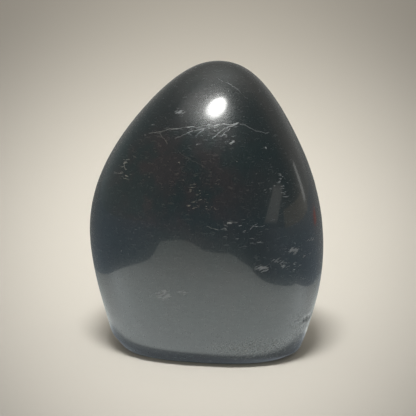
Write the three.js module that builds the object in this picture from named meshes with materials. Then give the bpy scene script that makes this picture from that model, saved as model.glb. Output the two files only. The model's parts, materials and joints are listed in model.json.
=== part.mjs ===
// Black tourmaline freeform: one natural stone, ground and polished by hand to a leaning,
// blunt-topped standing shape, with a small flat ground on its underside to rest on.
// Millimetres, +Z up, front towards -Y, origin at the middle of the bounding box's bottom.
import * as THREE from 'three';

// Driving dimensions
const HEIGHT = 116;                  // from the foot to the tip
const WAIST_HEIGHT = 48.7;           // height at which the half-width and half-depth are given
const HALF_WIDTH = 46.5;             // along X at the waist
const HALF_DEPTH = 33.1;             // along Y at the waist
const SQUARENESS = 2.4;              // exponent of each level section: 2 is a plain ellipse
const TURN = THREE.MathUtils.degToRad(-9);      // level sections turned about Z

// How the hand-ground shape departs from an ellipsoid. Each list holds the terms of a
// polynomial in the rise, which is 0 at the waist, 1 at the tip and negative below the waist.
const WIDTH_TERMS = [1, -0.058, -0.155, -0.313, 0.316];    // multiplies the half-width
const DEPTH_TERMS = [1, -0.08, -0.04];                     // multiplies the half-depth
const SIDE_LEAN_TERMS = [0, -2.4, 5.7, 7.1, -5.3];         // shift towards +X, in millimetres
const BACK_LEAN_TERMS = [0, 0.9];                          // shift towards +Y, in millimetres

// The bevel ground round the foot: tallest at the front left, and low at the back right
const BEVEL_HEIGHT = 4.0;            // on average
const BEVEL_SLANT = 0.6;             // share of the average by which it grows and shrinks
const BEVEL_LOWEST = THREE.MathUtils.degToRad(25);         // direction in which it is lowest
const BEVEL_INSET = 2.9;             // how far it draws the foot in
const BEVEL_CROWN = 1.1;             // exponent of its slope: 1 is straight

// Broad flats left by the grinding wheel: which way each faces, how deep it cuts into the
// round shape, and how softly it runs out into it, in millimetres
const GROUND_FLATS = [
  { facing: [-0.1, 1, 0.16], depth: 3.5, softness: 1.9 },
  { facing: [0.85, 1, 0.55], depth: 2.6, softness: 1.6 },
  { facing: [-0.9, 0.75, -0.2], depth: 1.6, softness: 1.4 },
  { facing: [0.94, -0.2, -0.29], depth: 0.2, softness: 0.9 },
];

// Mesh layout: a box's six faces are wrapped round the stone, so its cells are all four-sided
const CELLS_PER_SIDE = 12;           // a quarter of the cells round a level section
const BEVEL_ROWS = [0, 0.12, 0.88, 1.14];       // row heights, as shares of the bevel's height
const SIDE_ROWS = 21;                // rows from the bevel up to the cap
const CAP_LATITUDE = THREE.MathUtils.degToRad(60);         // where the box's top face takes over
const FOOT_CROWDING = 1.8;           // above 1, the foot's cells are narrower near its edge

const STONE_FINISH = { color: 0x2b3031, roughness: 0.16, metalness: 0 };

const UP = new THREE.Vector3(0, 0, 1);
const RISE_SPAN = HEIGHT - WAIST_HEIGHT;

function polynomial(terms, value) {
  return terms.reduceRight((sum, term) => sum * value + term, 0);
}

function bevelHeight(direction) {
  return BEVEL_HEIGHT * (1 - BEVEL_SLANT * Math.cos(direction - BEVEL_LOWEST));
}

// How far the bevel draws the skin in at this height.
function bevelInset(height, direction) {
  const below = Math.max(0, 1 - height / bevelHeight(direction));
  return BEVEL_INSET * below ** BEVEL_CROWN;
}

// The skin's point at this height, in this direction from the stone's middle line.
// The reach shrinks the point towards the middle line: 1 is on the skin.
function stonePoint(height, direction, reach) {
  const rise = (height - WAIST_HEIGHT) / RISE_SPAN;
  const taper = Math.sqrt(Math.max(0, 1 - rise * rise));
  const inset = bevelInset(height, direction);
  const halfWidth = HALF_WIDTH * taper * polynomial(WIDTH_TERMS, rise) - inset;
  const halfDepth = HALF_DEPTH * taper * polynomial(DEPTH_TERMS, rise) - inset;
  const across = Math.cos(direction);
  const along = Math.sin(direction);
  const power = Math.abs(across) ** SQUARENESS + Math.abs(along) ** SQUARENESS;
  const scale = reach * power ** (-1 / SQUARENESS);
  const point = new THREE.Vector3(halfWidth * scale * across, halfDepth * scale * along, height);
  point.applyAxisAngle(UP, TURN);
  point.x += polynomial(SIDE_LEAN_TERMS, rise);
  point.y += polynomial(BACK_LEAN_TERMS, rise);
  return point;
}

function heightAt(latitude) {
  return WAIST_HEIGHT + RISE_SPAN * Math.sin(latitude);
}

// Height of a row of corners, counted from the foot up to the cap.
function rowHeight(row, direction) {
  if (row < BEVEL_ROWS.length) {
    return BEVEL_ROWS[row] * bevelHeight(direction);
  }
  const lastBevelRow = BEVEL_ROWS.length - 1;
  const start = rowHeight(lastBevelRow, direction);
  const startLatitude = Math.asin((start - WAIST_HEIGHT) / RISE_SPAN);
  const share = (row - lastBevelRow) / SIDE_ROWS;
  return heightAt(THREE.MathUtils.lerp(startLatitude, CAP_LATITUDE, share));
}

// Direction of a place on a square's rim, evenly spaced from corner to corner.
function squareDirection(x, y) {
  if (Math.abs(x) >= Math.abs(y)) {
    return (x > 0 ? 0 : Math.PI) + (x === 0 ? 0 : (y / x) * Math.PI / 4);
  }
  return (y > 0 ? Math.PI / 2 : -Math.PI / 2) - (x / y) * Math.PI / 4;
}

// Presses every point that stands out past a flat's plane softly back towards the plane.
function grindFlat(points, flat) {
  const facing = new THREE.Vector3(...flat.facing).normalize();
  const furthest = Math.max(...points.map((point) => point.dot(facing)));
  const plane = furthest - flat.depth;
  for (const point of points) {
    const over = point.dot(facing) - plane;
    const pressed = -flat.softness * Math.log1p(Math.exp(-over / flat.softness));
    point.addScaledVector(facing, pressed - over);
  }
}

// The place on the stone of one corner of the box: the box's top face becomes the cap, its
// bottom face the flat foot, and its four sides the skin between them.
function wrapCorner(corner, rows) {
  const fromMiddle = 2 * Math.max(Math.abs(corner.x), Math.abs(corner.y)) / CELLS_PER_SIDE;
  const direction = squareDirection(corner.x, corner.y);
  const row = corner.z + rows / 2;
  if (row === 0) {
    return stonePoint(0, direction, 1 - (1 - fromMiddle) ** FOOT_CROWDING);
  }
  if (row === rows) {
    const latitude = THREE.MathUtils.lerp(Math.PI / 2, CAP_LATITUDE, fromMiddle);
    return stonePoint(heightAt(latitude), direction, 1);
  }
  return stonePoint(rowHeight(row, direction), direction, 1);
}

function makeStoneGeometry() {
  const rows = BEVEL_ROWS.length - 1 + SIDE_ROWS;
  // The box's cells are unit cubes, so corners shared by two of its faces match exactly.
  const size = [CELLS_PER_SIDE, CELLS_PER_SIDE, rows];
  const geometry = new THREE.BoxGeometry(...size, ...size);
  const places = geometry.attributes.position;
  const points = [];
  for (let index = 0; index < places.count; index += 1) {
    const corner = new THREE.Vector3().fromBufferAttribute(places, index);
    points.push(wrapCorner(corner, rows));
  }
  const footPoints = points.filter((point) => point.z === 0);
  GROUND_FLATS.forEach((flat) => grindFlat(points, flat));
  footPoints.forEach((point) => point.setZ(0));
  geometry.setFromPoints(points);
  return geometry;
}

// Moves the stone so that its bounding box stands centred on the origin.
function standOnOrigin(geometry) {
  geometry.computeBoundingBox();
  const middle = geometry.boundingBox.getCenter(new THREE.Vector3());
  geometry.translate(-middle.x, -middle.y, -geometry.boundingBox.min.z);
  geometry.computeVertexNormals();
  return geometry;
}

const stone = new THREE.Mesh(
  standOnOrigin(makeStoneGeometry()),
  new THREE.MeshStandardMaterial(STONE_FINISH),
);
stone.name = 'stone';

const model = new THREE.Group();
model.add(stone);

export default model;
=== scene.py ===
import json
import math

import bpy
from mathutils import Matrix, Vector, geometry, noise

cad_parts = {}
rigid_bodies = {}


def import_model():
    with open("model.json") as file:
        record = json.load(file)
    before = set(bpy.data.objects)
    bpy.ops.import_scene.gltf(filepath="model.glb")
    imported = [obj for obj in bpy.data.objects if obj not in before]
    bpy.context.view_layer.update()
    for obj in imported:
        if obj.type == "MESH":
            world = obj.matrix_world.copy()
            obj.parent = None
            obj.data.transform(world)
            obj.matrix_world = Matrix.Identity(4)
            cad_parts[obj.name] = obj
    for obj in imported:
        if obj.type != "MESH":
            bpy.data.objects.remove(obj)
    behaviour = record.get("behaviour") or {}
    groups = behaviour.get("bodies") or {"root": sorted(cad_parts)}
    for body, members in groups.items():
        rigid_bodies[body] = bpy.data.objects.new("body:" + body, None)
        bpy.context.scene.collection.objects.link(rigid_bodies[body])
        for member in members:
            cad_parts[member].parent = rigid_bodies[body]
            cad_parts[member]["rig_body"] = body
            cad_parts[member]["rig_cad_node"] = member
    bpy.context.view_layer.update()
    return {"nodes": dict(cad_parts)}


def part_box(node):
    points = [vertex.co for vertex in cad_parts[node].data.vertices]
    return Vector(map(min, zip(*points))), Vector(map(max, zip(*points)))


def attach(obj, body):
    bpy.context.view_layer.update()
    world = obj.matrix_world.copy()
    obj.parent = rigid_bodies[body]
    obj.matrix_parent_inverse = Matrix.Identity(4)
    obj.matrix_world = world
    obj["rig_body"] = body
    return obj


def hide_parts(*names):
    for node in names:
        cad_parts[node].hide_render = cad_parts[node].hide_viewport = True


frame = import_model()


# ---- Camera --------------------------------------------------------------------------------
# A long lens half a metre in front of the stone, held a little above it and looking down
# on its belly, so that the front half of the foot's bevel shows.
mm = 0.001
stone_low, stone_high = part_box("stone")
stone_height = stone_high.z - stone_low.z

camera_distance = 4.5 * stone_height
camera_tilt = math.radians(15)
camera_aim = Vector((0.6 * mm, 0.8 * mm, 0.494 * stone_height))
camera_back = Vector((0, -math.cos(camera_tilt), math.sin(camera_tilt)))

bpy.ops.object.camera_add(location=camera_aim + camera_back * camera_distance)
camera = bpy.context.object
camera.name = "camera"
camera.rotation_euler = (math.pi / 2 - camera_tilt, 0, 0)
camera.data.sensor_width = 36
camera.data.lens = 113.7
bpy.context.scene.camera = camera


# ---- Stone: shape --------------------------------------------------------------------------
# One natural crystal mass of black tourmaline. It was ground on a wheel to a leaning,
# blunt-topped shape, bevelled and flattened underneath to stand, and polished by hand.
bpy.ops.object.select_all(action="DESELECT")
stone = frame["nodes"]["stone"].copy()
stone.data = stone.data.copy()
stone.name = "polished_stone"
stone.parent = None
bpy.context.collection.objects.link(stone)
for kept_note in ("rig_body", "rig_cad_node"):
    del stone[kept_note]
stone.select_set(True)
bpy.context.view_layer.objects.active = stone

bpy.ops.object.mode_set(mode="EDIT")
bpy.ops.mesh.select_all(action="SELECT")
bpy.ops.mesh.remove_doubles(threshold=0.01 * mm)
bpy.ops.mesh.tris_convert_to_quads(face_threshold=math.radians(40), shape_threshold=math.radians(60))
bpy.ops.mesh.normals_make_consistent(inside=False)
bpy.ops.object.mode_set(mode="OBJECT")

finer_skin = stone.modifiers.new("finer skin", "SUBSURF")
finer_skin.levels = 3
finer_skin.render_levels = 3
bpy.ops.object.modifier_apply(modifier=finer_skin.name)
bpy.ops.object.shade_smooth()


def distance_to_line(spot, start, end):
    """How far a spot on the skin is from the straight line between two places."""
    along = end - start
    share = (spot - start).dot(along) / max(along.length_squared, 1e-12)
    return (spot - start - along * min(max(share, 0), 1)).length


# Everything above the foot sways a little, as hand polishing leaves it.
above_foot = stone.vertex_groups.new(name="above the foot")
for corner in stone.data.vertices:
    above_foot.add([corner.index], min(max(corner.co.z / (12 * mm), 0), 1), "REPLACE")

sway = bpy.data.textures.new("polishing sway", "CLOUDS")
sway.noise_scale = 26 * mm
sway.noise_depth = 1
swaying = stone.modifiers.new("polishing sway", "DISPLACE")
swaying.texture = sway
swaying.vertex_group = above_foot.name
swaying.strength = 0.35 * mm
swaying.mid_level = 0.5
bpy.ops.object.modifier_apply(modifier=swaying.name)

# Grooves along the open cracks and small pits that the polishing did not reach:
# from, to, half-width and depth, in millimetres.
hollows = [
    ((-22, -13, 91), (-8, -18, 94), 0.9, 0.05),
    ((-8, -18, 94), (12, -19, 96), 0.9, 0.06),
    ((38, -19.5, 18), (41, -15, 17), 1.6, 0.90),
    ((41, -15, 17), (42.5, -11, 18.5), 1.4, 0.50),
    ((-46.5, -4, 50.5), (-46, -6.5, 49), 1.3, 0.45),
    ((-17.5, -30.5, 31), (-13, -32, 31.5), 1.3, 0.10),
    ((20, -33, 42.5), (27, -31, 44), 1.1, 0.08),
]
hollow_depth = stone.vertex_groups.new(name="hollows")
for corner in stone.data.vertices:
    depth = 0
    for start, end, half_width, deepest in hollows:
        away = distance_to_line(corner.co, Vector(start) * mm, Vector(end) * mm) / (half_width * mm)
        ragged = 0.75 + 0.5 * noise.noise(corner.co / (1.7 * mm))
        depth = max(depth, deepest * ragged * max(0, 1 - away) ** 0.7)
    hollow_depth.add([corner.index], min(depth, 1), "REPLACE")
sinking = stone.modifiers.new("hollows", "DISPLACE")
sinking.vertex_group = hollow_depth.name
sinking.strength = -1 * mm
sinking.mid_level = 0
bpy.ops.object.modifier_apply(modifier=sinking.name)


# ---- Stone: node groups ----------------------------------------------------------------------
# Natural marks shared by every face of the stone: hairline cracks filled with pale clay,
# small torn flecks, and patches where such marks gather. All positions are in millimetres.
def new_group(name, inputs, output):
    """An empty node group with named inputs (name, kind, default) and one named output."""
    group = bpy.data.node_groups.new(name, "ShaderNodeTree")
    for label, kind, default in inputs:
        socket = group.interface.new_socket(label, in_out="INPUT", socket_type=kind)
        socket.default_value = default
    group.interface.new_socket(output, in_out="OUTPUT", socket_type="NodeSocketFloat")
    return group, group.nodes.new("NodeGroupInput"), group.nodes.new("NodeGroupOutput")


def put(tree, kind, feeds, **settings):
    """A node with its settings made and its inputs fed by sockets or set to constants."""
    node = tree.nodes.new(kind)
    for label, value in settings.items():
        setattr(node, label, value)
    for label, source in feeds.items():
        if isinstance(source, bpy.types.NodeSocket):
            tree.links.new(source, node.inputs[label])
        else:
            node.inputs[label].default_value = source
    return node


def reckon(tree, operation, *terms, clamp=False):
    """A Math node's result."""
    node = put(tree, "ShaderNodeMath", dict(enumerate(terms)), operation=operation, use_clamp=clamp)
    return node.outputs[0]


def vector_reckon(tree, operation, *terms, output="Vector"):
    """A Vector Math node's result."""
    node = put(tree, "ShaderNodeVectorMath", dict(enumerate(terms)), operation=operation)
    return node.outputs[output]


def soft_step(tree, value, full, none):
    """1 where the value is at full, 0 where it is at none, and smooth between."""
    feeds = {"Value": value, "From Min": full, "From Max": none, "To Min": 1.0, "To Max": 0.0}
    return put(tree, "ShaderNodeMapRange", feeds, interpolation_type="SMOOTHSTEP").outputs["Result"]


hairline, given, result = new_group("hairline crack", [
    ("Position", "NodeSocketVector", (0, 0, 0)), ("Start", "NodeSocketVector", (0, 0, 0)),
    ("End", "NodeSocketVector", (1, 0, 0)), ("Width", "NodeSocketFloat", 0.5)], "Mask")
from_start = vector_reckon(hairline, "SUBTRACT", given.outputs["Position"], given.outputs["Start"])
whole = vector_reckon(hairline, "SUBTRACT", given.outputs["End"], given.outputs["Start"])
done = vector_reckon(hairline, "DOT_PRODUCT", from_start, whole, output="Value")
squared = vector_reckon(hairline, "DOT_PRODUCT", whole, whole, output="Value")
share = reckon(hairline, "DIVIDE", done, squared, clamp=True)
nearest = put(hairline, "ShaderNodeVectorMath", {0: whole, "Scale": share}, operation="SCALE")
away = vector_reckon(hairline, "DISTANCE", from_start, nearest.outputs["Vector"], output="Value")
half = reckon(hairline, "MULTIPLY", given.outputs["Width"], 0.25)
hairline.links.new(soft_step(hairline, away, half, given.outputs["Width"]), result.inputs["Mask"])

torn, given, result = new_group("torn flecks", [
    ("Position", "NodeSocketVector", (0, 0, 0)), ("Cell", "NodeSocketVector", (2, 2, 1)),
    ("Share", "NodeSocketFloat", 0.1), ("Size", "NodeSocketFloat", 0.3)], "Mask")
in_cells = vector_reckon(torn, "DIVIDE", given.outputs["Position"], given.outputs["Cell"])
cells = put(torn, "ShaderNodeTexVoronoi", {"Vector": in_cells, "Scale": 1.0, "Randomness": 1.0})
chance = put(torn, "ShaderNodeSeparateColor", {"Color": cells.outputs["Color"]})
present = reckon(torn, "LESS_THAN", chance.outputs["Red"], given.outputs["Share"])
own_size = reckon(torn, "MULTIPLY", given.outputs["Size"],
                  reckon(torn, "ADD", 0.4, chance.outputs["Green"]))
fleck = soft_step(torn, cells.outputs["Distance"], reckon(torn, "MULTIPLY", own_size, 0.5), own_size)
torn.links.new(reckon(torn, "MULTIPLY", fleck, present), result.inputs["Mask"])

gathering, given, result = new_group("gathering", [
    ("Position", "NodeSocketVector", (0, 0, 0)), ("Centre", "NodeSocketVector", (0, 0, 0)),
    ("Reach", "NodeSocketVector", (10, 10, 10))], "Mask")
offset = vector_reckon(gathering, "SUBTRACT", given.outputs["Position"], given.outputs["Centre"])
scaled = vector_reckon(gathering, "DIVIDE", offset, given.outputs["Reach"])
length = vector_reckon(gathering, "LENGTH", scaled, output="Value")
gathering.links.new(soft_step(gathering, length, 0.35, 1.0), result.inputs["Mask"])


# ---- Stone: material -----------------------------------------------------------------------
# Black tourmaline is a dark green-grey to brown-black crystal with a fine upright grain.
# Its polish is glassy, but torn flecks, clay-filled cracks and a worn patch stay matt.
stone.data.materials.clear()
polish = bpy.data.materials.new("polished tourmaline")
polish.use_nodes = True
stone.data.materials.append(polish)
tree = polish.node_tree
surface = tree.nodes["Principled BSDF"]
surface.inputs["IOR"].default_value = 1.64
surface.inputs["Coat Roughness"].default_value = 0.04
surface.inputs["Coat IOR"].default_value = 1.5

place = put(tree, "ShaderNodeTexCoord", {}).outputs["Object"]
in_mm = put(tree, "ShaderNodeVectorMath", {0: place, "Scale": 1 / mm}, operation="SCALE")
position = in_mm.outputs["Vector"]
axes = put(tree, "ShaderNodeSeparateXYZ", {"Vector": position})


def grain_noise(scale_mm, detail=2.0, stretch=None, at=None):
    """Noise whose features are about scale_mm across, drawn out along each axis by stretch."""
    at = at or position
    if stretch:
        at = vector_reckon(tree, "DIVIDE", at, stretch)
    return put(tree, "ShaderNodeTexNoise", {"Vector": at, "Scale": 1 / scale_mm, "Detail": detail}).outputs


def marks(group_tree, **feeds):
    """One use of a node group's mask."""
    return put(tree, "ShaderNodeGroup", feeds, node_tree=group_tree).outputs["Mask"]


def strongest(earlier, mask):
    """The stronger of two masks, or the only one."""
    return reckon(tree, "MAXIMUM", earlier, mask) if earlier else mask


def gathered(patches):
    """The patches, each given by its centre and its reach, as one mask."""
    found = None
    for centre, reach in patches:
        found = strongest(found, marks(gathering, Position=wandering, Centre=centre, Reach=reach))
    return found


def cracks_on(side, cracks):
    """The cracks of one side of the stone, as one mask."""
    found = None
    for start, end, width, fullness in cracks:
        line = marks(hairline, Position=flattened, Start=(start[0], 0, start[1]),
                     End=(end[0], 0, end[1]), Width=width)
        found = strongest(found, reckon(tree, "MULTIPLY", line, fullness))
    return reckon(tree, "MULTIPLY", found, side)


# Cracks wander: the place that they are looked up at is pushed about by two sizes of noise.
push = vector_reckon(tree, "SUBTRACT", grain_noise(5.0)["Color"], (0.5, 0.5, 0.5))
wandering = vector_reckon(tree, "MULTIPLY_ADD", push, (2.2, 2.2, 2.2), position)
push = vector_reckon(tree, "SUBTRACT", grain_noise(1.2)["Color"], (0.5, 0.5, 0.5))
wandering = vector_reckon(tree, "MULTIPLY_ADD", push, (0.9, 0.9, 0.9), wandering)
flattened = vector_reckon(tree, "MULTIPLY", wandering, (1, 0, 1))

# Each crack: where it starts and ends, across and up, how wide it opens and how full it is.
front = soft_step(tree, axes.outputs["Y"], -4.0, 2.0)
front_cracks = cracks_on(front, [
    ((-22.0, 91.0), (-13.0, 93.5), 0.15, 0.7), ((-13.0, 93.5), (1.5, 95.0), 0.18, 0.8),
    ((1.5, 95.0), (12.0, 96.0), 0.20, 0.9), ((3.0, 95.0), (-7.0, 92.0), 0.15, 0.7),
    ((-7.0, 92.0), (-12.0, 90.0), 0.13, 0.5), ((-1.0, 93.5), (-4.0, 91.0), 0.12, 0.5),
    ((11.5, 96.0), (5.0, 93.0), 0.16, 0.8), ((5.0, 93.0), (2.0, 90.5), 0.13, 0.7),
    ((9.0, 94.0), (5.5, 91.5), 0.12, 0.5), ((12.5, 95.5), (23.5, 91.5), 0.12, 0.5),
    ((4.5, 111.0), (11.5, 107.5), 0.14, 0.6), ((11.5, 107.5), (15.5, 103.5), 0.11, 0.35),
    ((-18.0, 91.5), (-14.5, 88.0), 0.12, 0.5), ((-12.0, 86.5), (1.5, 79.0), 0.11, 0.14),
    ((16.5, 58.0), (19.0, 60.0), 0.15, 0.9), ((18.0, 58.5), (21.5, 59.0), 0.14, 0.8),
    ((0.0, 58.5), (8.0, 57.5), 0.12, 0.7), ((8.0, 60.0), (9.5, 60.5), 0.30, 1.0),
])
back = soft_step(tree, axes.outputs["Y"], 4.0, -2.0)
back_cracks = cracks_on(back, [
    ((-18.0, 84.0), (-6.0, 78.5), 0.22, 0.8), ((-6.0, 78.5), (9.0, 76.5), 0.26, 1.0),
    ((-6.0, 78.5), (-2.0, 71.0), 0.18, 0.6), ((14.0, 44.0), (28.0, 39.0), 0.20, 0.8),
])
broken = soft_step(tree, grain_noise(2.6, 3.0)["Fac"], 0.56, 0.40)
cracked = reckon(tree, "MULTIPLY", strongest(front_cracks, back_cracks),
                 reckon(tree, "ADD", 0.25, broken, clamp=True))

# Torn flecks lie about level and gather in clusters: where, and how far each spreads.
clustered = gathered([
    ((-31, -16, 78), (7, 9, 9)), ((-3, -30, 70), (14, 12, 9)), ((3, -20, 92), (14, 9, 5)),
    ((15, -31, 56), (17, 9, 8)), ((33, -28, 44), (14, 12, 8)), ((26, -24, 73), (14, 9, 10)),
    ((20, 24, 62), (16, 12, 12)), ((-16, 24, 34), (18, 12, 9)), ((44, 0, 62), (9, 12, 16)),
    ((-43, 4, 44), (9, 12, 14)), ((8, 8, 106), (14, 12, 9)), ((-4, 24, 84), (20, 14, 8)),
    ((-9, -14, 101), (8, 8, 5)),
])
patchy = soft_step(tree, grain_noise(4.5, 2.0, stretch=(1.6, 1.6, 1))["Fac"], 0.56, 0.42)
clustered = reckon(tree, "MAXIMUM", reckon(tree, "MULTIPLY", clustered, patchy), 0.13)
dashes = marks(torn, Position=wandering, Cell=(3.0, 3.0, 0.9), Share=0.20, Size=0.18)
specks = marks(torn, Position=wandering, Cell=(1.3, 1.3, 0.7), Share=0.12, Size=0.22)
flecked = strongest(dashes, specks)
tears = soft_step(tree, grain_noise(1.0, 3.0, stretch=(2.4, 2.4, 0.55), at=wandering)["Fac"], 0.67, 0.61)
flecked = reckon(tree, "MULTIPLY", strongest(flecked, tears), clustered)
flecked = reckon(tree, "MULTIPLY", flecked, reckon(tree, "ADD", grain_noise(1.9)["Fac"], 0.22))
lone = marks(torn, Position=wandering, Cell=(5.5, 5.5, 2.6), Share=0.12, Size=0.10)
pale = strongest(strongest(cracked, flecked), lone)

# Larger scribbles of clay on the belly and the upper front, in strokes that climb to the right.
scribbles = gathered([
    ((-16.5, -31, 30.8), (5.2, 8, 3.8)), ((-9.0, -33, 32.8), (3.6, 6, 1.4)),
    ((21.5, -35, 42.6), (6.0, 7, 2.8)), ((28.0, -34, 45.2), (6.5, 7, 2.2)),
    ((34.0, -30, 48.4), (5.0, 7, 2.4)), ((41.0, -24, 51.0), (3.6, 8, 2.2)),
    ((-31.0, -19, 80.5), (2.8, 8, 5.0)), ((-3.5, -35, 69.0), (5.0, 8, 2.8)),
    ((4.0, -34, 76.0), (4.2, 8, 3.2)), ((-10.0, -19, 99.5), (3.5, 8, 2.2)),
    ((-4.0, -28, 89.5), (2.6, 8, 2.2)), ((9.5, -28, 89.5), (3.8, 8, 1.8)),
])
climbing = reckon(tree, "MULTIPLY_ADD", axes.outputs["X"], -0.42, axes.outputs["Z"])
climbing = put(tree, "ShaderNodeCombineXYZ", {"X": axes.outputs["X"], "Y": axes.outputs["Y"], "Z": climbing})
strokes = grain_noise(1.0, 3.0, stretch=(2.2, 2.2, 0.48), at=climbing.outputs[0])["Fac"]
scribbles = soft_step(tree, reckon(tree, "MULTIPLY_ADD", scribbles, 0.32, strokes), 0.82, 0.72)
pale = strongest(pale, reckon(tree, "MULTIPLY", scribbles, 0.8))

# The worn patch low on the right of the front, dull and finely pitted, thinning to the left,
# and another at the back.
worn = gathered([
    ((38, -20, 15), (9.5, 14, 11)), ((20, -29, 9), (22, 12, 5.5)), ((-30, 20, 9), (20, 14, 8)),
])
worn = reckon(tree, "MULTIPLY", worn, soft_step(tree, grain_noise(0.75, 2.0)["Fac"], 0.60, 0.47))

# Crystal colour: green-grey with brown clouds, an upright grain and a fine sparkle.
brown_zone = marks(gathering, Position=wandering, Centre=(-11, -26, 75), Reach=(38, 34, 27))
clouds = soft_step(tree, grain_noise(11.0, 4.0)["Fac"], 0.60, 0.38)
brown = reckon(tree, "MULTIPLY", reckon(tree, "ADD", brown_zone, 0.22), clouds, clamp=True)
crystal = put(tree, "ShaderNodeMix", {"Factor": brown, "A": (0.0085, 0.0134, 0.0134, 1),
                                      "B": (0.0195, 0.0140, 0.0142, 1)}, data_type="RGBA")
upright = grain_noise(0.55, 2.0, stretch=(1, 1, 9))["Fac"]
sparkle = grain_noise(0.35, 1.0)["Fac"]
shade = reckon(tree, "MULTIPLY_ADD", sparkle, 0.9, reckon(tree, "MULTIPLY_ADD", upright, 0.5, 0.3))
crystal = put(tree, "ShaderNodeVectorMath", {0: crystal.outputs["Result"], "Scale": shade},
              operation="SCALE")
with_worn = put(tree, "ShaderNodeMix", {"Factor": worn, "A": crystal.outputs["Vector"],
                                        "B": (0.150, 0.161, 0.165, 1)}, data_type="RGBA")
clay = put(tree, "ShaderNodeMix", {"Factor": brown_zone, "A": (0.20, 0.21, 0.215, 1),
                                   "B": (0.22, 0.20, 0.155, 1)}, data_type="RGBA")
# Painted glint: where the cracks pass under the highlight, their clay is painted whiter for the lamp's light
# they catch.
crack_glint = marks(gathering, Position=wandering, Centre=(2, -20, 93.5), Reach=(19, 14, 9))
clay = put(tree, "ShaderNodeMix", {"Factor": crack_glint, "A": clay.outputs["Result"],
                                   "B": (0.46, 0.48, 0.48, 1)}, data_type="RGBA")
with_clay = put(tree, "ShaderNodeMix", {"Factor": pale, "A": with_worn.outputs["Result"],
                                        "B": clay.outputs["Result"]}, data_type="RGBA")
tree.links.new(with_clay.outputs["Result"], surface.inputs["Base Color"])

# The ground foot is matt; marks are rough; the polish is streaked by the grain.
foot = soft_step(tree, axes.outputs["Z"], 0.15, 0.6)
matt = strongest(strongest(pale, worn), foot)
streaks = reckon(tree, "MULTIPLY_ADD", upright, 0.08, 0.22)
roughness = reckon(tree, "MULTIPLY_ADD", matt, 0.35, streaks)
tree.links.new(roughness, surface.inputs["Roughness"])
micro = grain_noise(0.8, 3.0, stretch=(5, 5, 0.9))["Fac"]
glassy = reckon(tree, "MULTIPLY_ADD", micro, -0.70, 1.32, clamp=True)
tree.links.new(reckon(tree, "MULTIPLY", glassy, reckon(tree, "MULTIPLY_ADD", matt, -0.9, 1.0)),
               surface.inputs["Coat Weight"])

height = reckon(tree, "MULTIPLY", upright, 0.03)
scratches = grain_noise(0.30, 3.0, stretch=(12, 12, 1))["Fac"]
height = reckon(tree, "MULTIPLY_ADD", scratches, 0.09, height)
height = reckon(tree, "MULTIPLY_ADD", sparkle, 0.05, height)
bump = put(tree, "ShaderNodeBump", {"Height": height, "Distance": 0.2 * mm, "Strength": 1.0})
tree.links.new(bump.outputs["Normal"], surface.inputs["Normal"])

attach(stone, "root")
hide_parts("stone")


# ---- Stage: the pale sheet -------------------------------------------------------------------
# A matt sheet of pale paper under and behind the stone, with a pool of light painted into its colour.
# The polish sees a darker table in its place, with a sheet-shaped card on it whose glow is a painted
# reflection of the lit sheet, with painted shadow behind the stone and along the foot.
bpy.ops.mesh.primitive_plane_add(size=8, location=(0, 0, 0))
sheet = bpy.context.object
sheet.name = "pale_sheet"
paper = bpy.data.materials.new("pale paper")
paper.use_nodes = True
tree = paper.node_tree
tree.nodes.clear()
output = tree.nodes.new("ShaderNodeOutputMaterial")
place = put(tree, "ShaderNodeTexCoord", {}).outputs["Object"]
axes = put(tree, "ShaderNodeSeparateXYZ", {"Vector": place})
across, along = axes.outputs["X"], axes.outputs["Y"]

# The pool of light is painted into the sheet's colour, with painted shade outside it. It spreads as it
# reaches back from the camera's first place: its slopes across and along are taken from there.
# They are fixed numbers, so the painted pool stays put in other views.
pool_start = camera.location.dot(camera_back)
pool_squash = 0.304
pool_shift = -0.030
pool_full = 0.072
pool_none = 0.278
reach = reckon(tree, "MULTIPLY_ADD", along, math.cos(camera_tilt), pool_start)
reach = reckon(tree, "MAXIMUM", reach, 0.1)
sideways = reckon(tree, "DIVIDE", across, reach)
lengthways = reckon(tree, "DIVIDE", reckon(tree, "MULTIPLY_ADD", along, pool_squash, pool_shift),
                    reach)
off_middle = reckon(tree, "SQRT", reckon(tree, "MULTIPLY_ADD", sideways, sideways,
                                         reckon(tree, "MULTIPLY", lengthways, lengthways)))
lit = soft_step(tree, off_middle, pool_full, pool_none)
tone = put(tree, "ShaderNodeMix", {"Factor": lit, "A": (0.262, 0.247, 0.223, 1),
                                   "B": (0.79, 0.75, 0.67, 1)}, data_type="RGBA")
# Painted light: the sheet's colour brightens towards the back, where the soft light falls off.
painted_light_gain = put(tree, "ShaderNodeMapRange", {"Value": along, "From Min": -0.1, "From Max": 1.3,
                                        "To Min": 0.79, "To Max": 2.16}).outputs["Result"]
painted_light_tone = put(tree, "ShaderNodeVectorMath", {0: tone.outputs["Result"], "Scale": painted_light_gain},
                 operation="SCALE")
matte = put(tree, "ShaderNodeBsdfDiffuse", {"Color": painted_light_tone.outputs["Vector"]})

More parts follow.
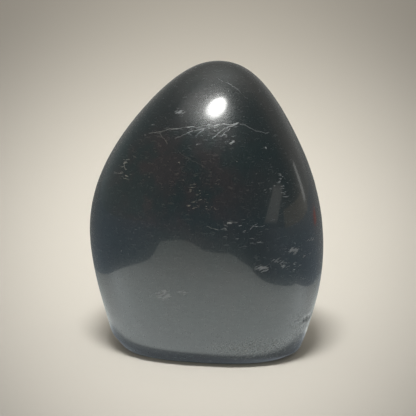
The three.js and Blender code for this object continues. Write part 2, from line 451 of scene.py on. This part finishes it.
# In the polish the sheet is a painted reflection of a darker table, a glow whose tone turns from the front
# round to the back.
aside = reckon(tree, "MAXIMUM", reckon(tree, "ABSOLUTE", across), 0.01)
bearing = reckon(tree, "ARCTAN2", along, aside)
ahead = soft_step(tree, bearing, -1.25, -0.65)
front_tone = put(tree, "ShaderNodeMix", {"Factor": ahead, "A": (0.25, 0.315, 0.37, 1),
                                         "B": (0.135, 0.175, 0.205, 1)}, data_type="RGBA")
behind = soft_step(tree, bearing, 1.1, -0.2)
table_tone = put(tree, "ShaderNodeMix", {"Factor": behind, "A": front_tone.outputs["Result"],
                                         "B": (0.155, 0.16, 0.155, 1)}, data_type="RGBA")
table_glow = put(tree, "ShaderNodeEmission", {"Color": table_tone.outputs["Result"]})
seen_in_polish = put(tree, "ShaderNodeLightPath", {}).outputs["Is Glossy Ray"]
both = put(tree, "ShaderNodeMixShader",
           {0: seen_in_polish, 1: matte.outputs[0], 2: table_glow.outputs[0]})
tree.links.new(both.outputs[0], output.inputs["Surface"])
sheet.data.materials.append(paper)

# The sheet's edge as the polish shows it, a smooth line through a few turns, in millimetres.
sheet_turns = [
    (-70, 80), (-110, -10), (-120, -75), (-130, -160), (-180, -270), (-205, -350), (-165, -420),
    (-115, -360), (-75, -295), (-30, -285), (10, -295), (50, -195), (60, -115), (95, -65),
    (110, -30), (80, 80),
]
turns = [Vector((x, y, 0.5)) * mm for x, y in sheet_turns]
sheet_edge = []
for index, turn in enumerate(turns):
    before, after = turns[index - 1], turns[(index + 1) % len(turns)]
    beyond = turns[(index + 2) % len(turns)]
    leaving, arriving = turn + (after - before) / 6, after - (beyond - turn) / 6
    sheet_edge += geometry.interpolate_bezier(turn, leaving, arriving, after, 8)[:-1]
sheet_card = bpy.data.meshes.new("sheet_in_polish")
sheet_card.from_pydata(sheet_edge, [], [range(len(sheet_edge))])
mirrored_sheet = bpy.data.objects.new("sheet_in_polish", sheet_card)
bpy.context.collection.objects.link(mirrored_sheet)
glow = bpy.data.materials.new("sheet in polish")
glow.use_nodes = True
tree = glow.node_tree
tree.nodes.clear()
output = tree.nodes.new("ShaderNodeOutputMaterial")
place = put(tree, "ShaderNodeTexCoord", {}).outputs["Object"]
towards_back = put(tree, "ShaderNodeSeparateXYZ", {"Vector": place}).outputs["Y"]
# The card's glow is a painted reflection of the lit sheet: brightest just in front of the stone, with the
# stone's shadow painted behind it.
share = put(tree, "ShaderNodeMapRange", {"Value": towards_back, "From Min": -0.35, "From Max": 0.09})
sheet_light_and_shadow = put(tree, "ShaderNodeValToRGB", {"Fac": share.outputs["Result"]})
stops = [(0.0, (0.60, 0.64, 0.61)), (0.34, (0.74, 0.79, 0.76)), (0.52, (0.92, 0.97, 0.94)),
         (0.68, (1.18, 1.27, 1.24)), (0.74, (1.24, 1.33, 1.32)), (0.80, (0.74, 0.775, 0.76)),
         (0.87, (0.45, 0.48, 0.46)), (0.93, (0.28, 0.30, 0.30)), (1.0, (0.20, 0.22, 0.23))]
for spot, _ in stops[2:]:
    sheet_light_and_shadow.color_ramp.elements.new(spot)
for stop, (spot, colour) in zip(sheet_light_and_shadow.color_ramp.elements, stops):
    stop.position = spot
    stop.color = (*colour, 1)

# Close round the foot the glow darkens in a painted contact shadow, in two steps that follow the foot's own
# turned oval.
foot_turn = math.radians(9)
foot_oval = (40.5 * mm, 22.8 * mm, 1)
turned = put(tree, "ShaderNodeVectorRotate", {"Vector": place, "Angle": foot_turn},
             rotation_type="Z_AXIS")
beside_foot = vector_reckon(tree, "DIVIDE", turned.outputs["Vector"], foot_oval)
from_foot = vector_reckon(tree, "LENGTH", beside_foot, output="Value")
foot_shadow = soft_step(tree, from_foot, 1.17, 1.31)
foot_contact_shadow = soft_step(tree, from_foot, 1.0, 1.15)
shade = put(tree, "ShaderNodeMix", {"Factor": foot_contact_shadow, "A": (0.335, 0.365, 0.385, 1),
                                    "B": (0.165, 0.183, 0.200, 1)}, data_type="RGBA")
seen = put(tree, "ShaderNodeMix", {"Factor": foot_shadow, "A": sheet_light_and_shadow.outputs["Color"],
                                   "B": shade.outputs["Result"]}, data_type="RGBA")
emit = put(tree, "ShaderNodeEmission", {"Color": seen.outputs["Result"], "Strength": 1.09})
tree.links.new(emit.outputs[0], output.inputs["Surface"])
sheet_card.materials.append(glow)


# ---- Stage: the room in the polish -----------------------------------------------------------
# The room is dark and blue-green in front, and paler behind and overhead. Only the polish
# sees it; everything else is lit by an even pale sky.
world = bpy.data.worlds.new("room")
bpy.context.scene.world = world
world.use_nodes = True
tree = world.node_tree
tree.nodes.clear()
output = tree.nodes.new("ShaderNodeOutputWorld")
direction = put(tree, "ShaderNodeTexCoord", {}).outputs["Generated"]
compass = put(tree, "ShaderNodeSeparateXYZ", {"Vector": direction})


def ramp_by_rise(stops):
    """A colour by how steeply a direction rises, from (rise, colour) stops."""
    lowest, steepest = -0.2, 1.0
    rise = put(tree, "ShaderNodeMapRange",
               {"Value": compass.outputs["Z"], "From Min": lowest, "From Max": steepest})
    ramp = put(tree, "ShaderNodeValToRGB", {"Fac": rise.outputs["Result"]})
    for _ in stops[2:]:
        ramp.color_ramp.elements.new(0.5)
    for stop, (spot, colour) in zip(ramp.color_ramp.elements, stops):
        stop.position = (spot - lowest) / (steepest - lowest)
        stop.color = (*colour, 1)
    return ramp.outputs["Color"]


front_room = ramp_by_rise([(-0.2, (0.17, 0.225, 0.27)), (0.0, (0.13, 0.18, 0.22)),
                           (0.15, (0.10, 0.145, 0.16)), (0.5, (0.085, 0.13, 0.14)),
                           (0.75, (0.13, 0.165, 0.17)), (0.92, (0.33, 0.34, 0.33)),
                           (1.0, (0.85, 0.85, 0.82))])
back_room = ramp_by_rise([(-0.2, (0.22, 0.22, 0.21)), (0.0, (0.24, 0.24, 0.23)),
                          (0.35, (0.21, 0.21, 0.20)), (0.7, (0.28, 0.27, 0.255)),
                          (0.85, (0.42, 0.41, 0.385)), (0.96, (0.62, 0.61, 0.58)),
                          (1.0, (0.85, 0.85, 0.82))])
left_room = ramp_by_rise([(-0.2, (0.22, 0.27, 0.30)), (0.1, (0.23, 0.275, 0.275)),
                          (0.4, (0.16, 0.195, 0.195)), (0.75, (0.18, 0.20, 0.20)),
                          (1.0, (0.85, 0.85, 0.82))])
to_front = soft_step(tree, compass.outputs["Y"], -0.35, 0.35)
to_left = soft_step(tree, compass.outputs["X"], -0.85, -0.35)
room = put(tree, "ShaderNodeMix", {"Factor": to_front, "A": back_room, "B": front_room}, data_type="RGBA")
room = put(tree, "ShaderNodeMix", {"Factor": to_left, "A": room.outputs["Result"], "B": left_room},
           data_type="RGBA")
seen_in_polish = put(tree, "ShaderNodeLightPath", {}).outputs["Is Glossy Ray"]
seen = put(tree, "ShaderNodeMix", {"Factor": seen_in_polish, "A": (0.40, 0.387, 0.36, 1),
                                   "B": room.outputs["Result"]}, data_type="RGBA")
background = put(tree, "ShaderNodeBackground", {"Color": seen.outputs["Result"]})
tree.links.new(background.outputs[0], output.inputs["Surface"])


# ---- Stage: cards seen in the polish ---------------------------------------------------------
# A narrow light window, a brown cupboard and a bright doorway stand in the room's right half,
# and a small red box lies behind on the right. A round lamp with a wide pale shade hangs above
# the camera and makes the highlight.
stone_heart = Vector((0, 0, 70 * mm))


def glowing_card(name, middle, size, colour, fade=0.1, round_card=False, lean=0):
    """A glowing card that faces the stone, fades away at its edge and may lean to one side."""
    bpy.ops.mesh.primitive_plane_add(size=1, location=middle)
    card = bpy.context.object
    card.name = name
    card.scale = (*size, 1)
    card.rotation_euler = (stone_heart - Vector(middle)).to_track_quat("Z", "Y").to_euler()
    for corner in card.data.vertices:
        corner.co.x += lean * corner.co.y
    glow = bpy.data.materials.new(name)
    glow.use_nodes = True
    tree = glow.node_tree
    tree.nodes.clear()
    output = tree.nodes.new("ShaderNodeOutputMaterial")
    place = put(tree, "ShaderNodeTexCoord", {}).outputs["UV"]
    sides = vector_reckon(tree, "ABSOLUTE", vector_reckon(tree, "SUBTRACT", place, (0.5, 0.5, 0.0)))
    if round_card:
        to_edge = vector_reckon(tree, "LENGTH", sides, output="Value")
    else:
        edges = put(tree, "ShaderNodeSeparateXYZ", {"Vector": sides})
        to_edge = reckon(tree, "MAXIMUM", edges.outputs["X"], edges.outputs["Y"])
    lit = soft_step(tree, to_edge, 0.5 - fade, 0.5)
    emit = put(tree, "ShaderNodeEmission", {"Color": (*colour, 1)})
    clear = put(tree, "ShaderNodeBsdfTransparent", {})
    both = put(tree, "ShaderNodeMixShader", {0: lit, 1: clear.outputs[0], 2: emit.outputs[0]})
    tree.links.new(both.outputs[0], output.inputs["Surface"])
    card.data.materials.append(glow)
    return card


# The cupboard and the red box glow as painted reflections of lit things; they are no lamps.
window = glowing_card("window", (1.40, -1.33, 0.38), (0.62, 0.56), (0.55, 0.55, 0.53), lean=-1.3)
cupboard = glowing_card("cupboard", (1.95, -0.22, 0.15), (2.2, 0.28), (0.42, 0.395, 0.345), 0.04)
doorway = glowing_card("doorway", (1.80, 0.58, 0.32), (0.22, 0.44), (1.1, 1.1, 1.06))
red_box = glowing_card("red_box", (0.31, 0.225, 0.008), (0.075, 0.030), (0.40, 0.13, 0.10))
lamp = glowing_card("lamp", (-0.065, -0.440, 0.705), (0.25, 0.28), (25, 25, 24.3), 0.28, True, -0.35)
lamp_shade = glowing_card("lamp_shade", (-0.29, -0.38, 0.94), (0.80, 0.80), (1.0, 1.0, 0.97), 0.45, True)

# Only the polish sees them, and the sheet-shaped card.
for card in (mirrored_sheet, window, cupboard, doorway, red_box, lamp, lamp_shade):
    card.visible_camera = False
    card.visible_diffuse = False
    card.visible_shadow = False


# ---- Lights --------------------------------------------------------------------------------
# One soft light above the stone lights it and casts its shadow. It is hidden from the polish,
# where the lamp's card makes the highlight.
bpy.ops.object.light_add(type="AREA", location=(-0.042, -0.30, 0.85))
softbox = bpy.context.object
softbox.name = "softbox"
softbox.data.shape = "ELLIPSE"
softbox.data.size = 0.30
softbox.data.size_y = 0.06
softbox.data.energy = 6.2
softbox.visible_glossy = False
softbox.visible_camera = False
softbox.rotation_euler = (Vector((0, 0.1, 0)) - softbox.location).to_track_quat("-Z", "Y").to_euler()

bpy.context.scene.view_settings.view_transform = "Standard"
